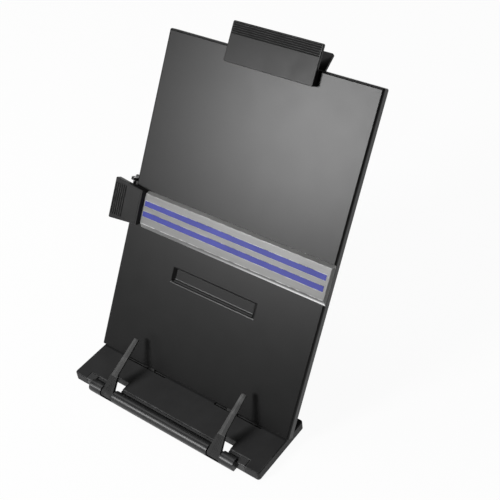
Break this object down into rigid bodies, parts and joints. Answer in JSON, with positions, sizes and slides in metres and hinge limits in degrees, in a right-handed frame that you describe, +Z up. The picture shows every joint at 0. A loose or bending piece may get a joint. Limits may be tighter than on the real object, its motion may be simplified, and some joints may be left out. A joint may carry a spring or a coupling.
{
  "type": "copy holder",
  "caption": "Desk copy holder: tilting sheet-steel board on a flat base, with swinging page levers, a sliding top clip and a sliding clear line guide",
  "frame": {"origin": "on the desk, under the middle of the board's lower front edge, on the underside of the rubber foot strip", "axes": "+X across the board to the reader's right, +Y to the rear, +Z up; the board's face looks towards -Y and up"},
  "size_m": [0.2373, 0.2282, 0.2924],
  "materials": {
    "base_plastic": "fine satin moulded plastic, dark grey",
    "clip_plastic": "fine satin moulded plastic, dark grey",
    "board_paint": "satin dark grey powder coat on sheet steel",
    "black_paint": "black paint on sheet steel",
    "rod_steel": "bright drawn steel rod",
    "plate_steel": "zinc-plated steel sheet and wire",
    "spring_steel": "bright spring wire",
    "screw_steel": "zinc-plated screws",
    "foot_rubber": "matt black rubber",
    "clear_plastic": "clear acrylic, faintly frosted inside",
    "stripe_blue": "blue inlay"
  },
  "bodies": {
    "base": {"base_plate": "base_plastic", "front_rail": "base_plastic", "bottom_plate": "plate_steel", "base_screws": "screw_steel", "base_feet": "foot_rubber", "lever_rod": "rod_steel", "hinge_rod_left": "rod_steel", "hinge_rod_right": "rod_steel"},
    "board": {"board_panel": "board_paint", "hinge_leaf_left": "black_paint", "hinge_leaf_right": "black_paint", "leg_bracket": "black_paint"},
    "leg": {"support_leg": "plate_steel", "leg_foot_sleeve": "foot_rubber", "leg_retainers": "screw_steel"},
    "top_clip": {"top_clip_rear": "clip_plastic", "top_clip_pin": "rod_steel", "top_clip_spring": "spring_steel"},
    "top_clip_jaw": {"top_clip_front": "clip_plastic", "top_clip_pad": "foot_rubber"},
    "guide": {"guide_clip_rear": "clip_plastic", "guide_clip_pin": "rod_steel", "guide_clip_spring": "spring_steel"},
    "guide_jaw": {"guide_clip_front": "clip_plastic", "guide_clip_pad": "foot_rubber", "guide_ruler": "clear_plastic", "guide_stripes": "stripe_blue"},
    "left_lever": {"lever_left": "base_plastic"},
    "right_lever": {"lever_right": "base_plastic"}
  },
  "joints": [
    {"name": "board_tilt", "type": "hinge", "parent": "base", "child": "board", "pos_m": [0, 0.00131, 0.00755], "axis": [1, 0, 0], "range_deg": [-58.6, 14]},
    {"name": "leg_fold", "type": "hinge", "parent": "board", "child": "leg", "pos_m": [0, 0.05482, 0.08859], "axis": [1, 0, 0], "range_deg": [-25, 117.02]},
    {"name": "top_clip_slide", "type": "slide", "parent": "board", "child": "top_clip", "axis": [1, 0, 0], "range_m": [-0.065, 0.055]},
    {"name": "top_clip_open", "type": "hinge", "parent": "top_clip", "child": "top_clip_jaw", "pos_m": [0.00465, 0.16476, 0.27542], "axis": [-1, 0, 0], "range_deg": [0, 20], "stiffness_Nm_per_rad": 0.1, "springref_deg": -28.65},
    {"name": "guide_slide", "type": "slide", "parent": "board", "child": "guide", "axis": [0, 0.521, 0.8536], "range_m": [-0.075, 0.118]},
    {"name": "guide_open", "type": "hinge", "parent": "guide", "child": "guide_jaw", "pos_m": [-0.1145, 0.0771, 0.13181], "axis": [0, -0.521, -0.8536], "range_deg": [0, 12], "stiffness_Nm_per_rad": 0.1, "springref_deg": -28.65},
    {"name": "lever_left_swing", "type": "hinge", "parent": "base", "child": "left_lever", "pos_m": [-0.0624, -0.0416, 0.00685], "axis": [1, 0, 0], "range_deg": [-9, 95]},
    {"name": "lever_right_swing", "type": "hinge", "parent": "base", "child": "right_lever", "pos_m": [0.0624, -0.0416, 0.00685], "axis": [1, 0, 0], "range_deg": [-9, 95]}
  ]
}
